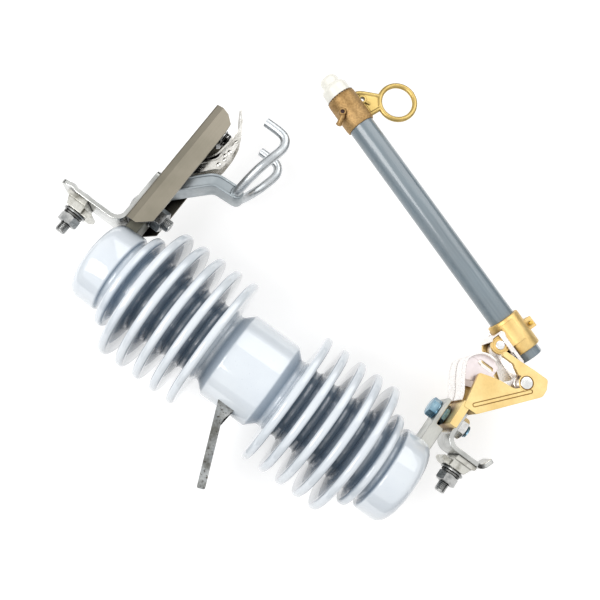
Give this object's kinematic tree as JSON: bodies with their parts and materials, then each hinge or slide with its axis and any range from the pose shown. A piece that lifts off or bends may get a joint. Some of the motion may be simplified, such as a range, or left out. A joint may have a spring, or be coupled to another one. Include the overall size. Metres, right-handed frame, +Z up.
{
  "type": "drop-out fuse cutout",
  "caption": "Pole-top drop-out fuse cutout: ribbed porcelain insulator on a mounting bar, hood with hooks, brass hinge and a fuse holder that swings open.",
  "frame": {"origin": "on the flat lower face of the mounting bar, at the middle of its bolt hole", "axes": "+Z up, +X away from the pole towards the fuse holder, +Y to the left of that; the insulator leans 23 degrees forward of +Z"},
  "size_m": [0.4054, 0.128, 0.4523],
  "materials": {
    "porcelain": "glazed porcelain, pale blue-grey, high gloss",
    "rough_galvanised": "hot-dip galvanised, rough and dull",
    "galvanised": "hot-dip galvanised, smooth and pale",
    "bright_zinc": "tinned bar, bright with soft scratches",
    "fastener_zinc": "galvanised fasteners, satin",
    "hood_steel": "stainless sheet, warm grey, satin",
    "silvered_copper": "silver-plated, bright and slightly worn",
    "spring_steel": "oiled spring steel, dark",
    "blue_zinc": "blue passivated zinc",
    "cast_brass": "sand-cast brass, satin, darker in the corners",
    "ferrule_brass": "cast bronze, satin with a fine grain",
    "stainless": "stainless, bright",
    "tube_grey": "lacquered glass-fibre tube, blue-grey, glossy",
    "ivory_cap": "moulded ivory plastic, glossy"
  },
  "bodies": {
    "root": {"insulator": "porcelain", "mounting_bar": "rough_galvanised", "upper_insert": "rough_galvanised", "upper_terminal_bar": "bright_zinc", "upper_bolt": "fastener_zinc", "upper_bolt_nut": "fastener_zinc", "upper_clamp_stud": "fastener_zinc", "upper_clamp_keeper": "fastener_zinc", "upper_clamp_washer": "fastener_zinc", "upper_clamp_lock_washer": "fastener_zinc", "upper_clamp_nut": "fastener_zinc", "hood": "hood_steel", "upper_contact": "silvered_copper", "contact_spring": "spring_steel", "spring_bolt": "fastener_zinc", "hook_arm": "galvanised", "hook_left": "galvanised", "hook_right": "galvanised", "lower_insert": "rough_galvanised", "lower_bolt": "blue_zinc", "lower_spacer": "blue_zinc", "lower_bolt_nut": "fastener_zinc", "lower_terminal_bar": "bright_zinc", "lower_clamp_stud": "fastener_zinc", "lower_clamp_keeper": "fastener_zinc", "lower_clamp_washer": "fastener_zinc", "lower_clamp_lock_washer": "fastener_zinc", "lower_clamp_nut": "fastener_zinc", "hinge_casting": "cast_brass", "lower_contact_left": "silvered_copper", "lower_contact_right": "silvered_copper"},
    "pin": {"hinge_pin": "stainless"},
    "trunnion": {"trunnion": "silvered_copper"},
    "holder": {"toggle_pin": "stainless", "fuse_tube": "tube_grey", "lower_ferrule": "ferrule_brass", "clamp_screw": "ferrule_brass", "link_strap": "stainless", "upper_ferrule": "ferrule_brass", "pull_ring": "ferrule_brass", "tube_cap": "ivory_cap"}
  },
  "joints": [
    {"name": "holder_swing", "type": "hinge", "parent": "root", "child": "pin", "pos_m": [0.13042, 0, -0.2496], "axis": [0, 1, 0], "range_deg": [-21, 138]},
    {"name": "toggle", "type": "hinge", "parent": "pin", "child": "trunnion", "pos_m": [0.13042, 0, -0.2496], "axis": [0, 1, 0], "range_deg": [0, 35]},
    {"name": "holder_pivot", "type": "hinge", "parent": "trunnion", "child": "holder", "pos_m": [0.16041, 0, -0.22551], "axis": [0, 1, 0], "range_deg": [-35, 0]}
  ],
  "couplings": [
    {"joint": "holder_pivot", "follows": "toggle", "ratio": -1}
  ]
}
